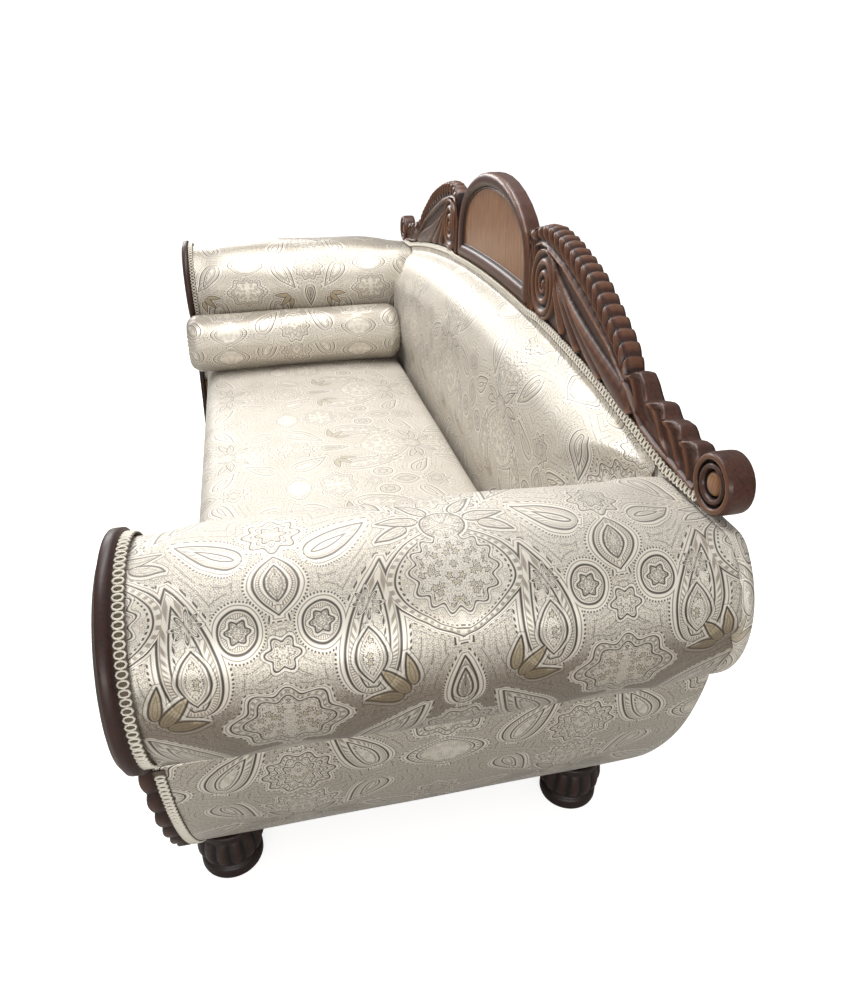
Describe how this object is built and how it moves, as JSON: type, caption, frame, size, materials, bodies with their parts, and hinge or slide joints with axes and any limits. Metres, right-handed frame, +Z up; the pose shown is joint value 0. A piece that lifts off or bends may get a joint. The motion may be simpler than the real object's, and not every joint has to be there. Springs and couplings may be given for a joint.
{
  "type": "double-ended sofa",
  "caption": "Double-ended scroll-arm sofa with a carved mahogany crest rail, sprung patterned upholstery, gimp braid, reeded feet and a loose bolster that lifts off the seat.",
  "frame": {"origin": "on the floor under the middle of the sofa's overall box", "axes": "+X along the sofa towards its right end as seen from the front, -Y out of the front, +Z up"},
  "size_m": [2.1, 0.76, 0.998],
  "materials": {
    "show_wood": "polished dark mahogany",
    "panel_wood": "polished golden-brown mahogany",
    "frame_wood": "plain sawn beech",
    "cover_fabric": "satin woven damask",
    "gimp_braid": "woven braid",
    "webbing": "jute webbing",
    "hessian": "plain hessian",
    "bottom_cloth": "black calico",
    "spring_steel": "drawn wire"
  },
  "bodies": {
    "sofa": {"back_gimp": "gimp_braid", "back_left_foot": "show_wood", "back_muntins": "frame_wood", "back_pad": "cover_fabric", "back_right_foot": "show_wood", "back_seat_rail": "frame_wood", "back_tack_rail": "frame_wood", "back_top_rail": "frame_wood", "back_webbing": "webbing", "bottom_cloth": "bottom_cloth", "corner_blocks": "frame_wood", "crest_left_scroll_eye": "panel_wood", "crest_left_wing": "show_wood", "crest_right_scroll_eye": "panel_wood", "crest_right_wing": "show_wood", "crest_tablet_frame": "show_wood", "crest_tablet_panel": "panel_wood", "crest_tenons": "frame_wood", "front_left_foot": "show_wood", "front_rail_gimp": "gimp_braid", "front_right_foot": "show_wood", "front_seat_rail": "show_wood", "left_arm_back_post": "frame_wood", "left_arm_end_cover": "cover_fabric", "left_arm_facing": "show_wood", "left_arm_gimp": "gimp_braid", "left_arm_pad": "cover_fabric", "left_arm_rosette": "show_wood", "left_arm_tack_rail": "frame_wood", "left_arm_top_rail": "frame_wood", "left_back_upright": "frame_wood", "left_front_post": "frame_wood", "left_outside_arm": "cover_fabric", "left_seat_rail": "frame_wood", "left_side_gimp": "gimp_braid", "outside_back": "cover_fabric", "right_arm_back_post": "frame_wood", "right_arm_end_cover": "cover_fabric", "right_arm_facing": "show_wood", "right_arm_gimp": "gimp_braid", "right_arm_pad": "cover_fabric", "right_arm_rosette": "show_wood", "right_arm_tack_rail": "frame_wood", "right_arm_top_rail": "frame_wood", "right_back_upright": "frame_wood", "right_front_post": "frame_wood", "right_outside_arm": "cover_fabric", "right_seat_rail": "frame_wood", "right_side_gimp": "gimp_braid", "seat_cross_braces": "frame_wood", "seat_hessian": "hessian", "seat_pad": "cover_fabric", "seat_springs": "spring_steel", "seat_webbing": "webbing"},
    "bolster": {"bolster": "cover_fabric"}
  },
  "joints": [
    {"name": "bolster_lift", "type": "slide", "parent": "sofa", "child": "bolster", "axis": [0, 0, 1], "range_m": [0, 0.65]}
  ]
}
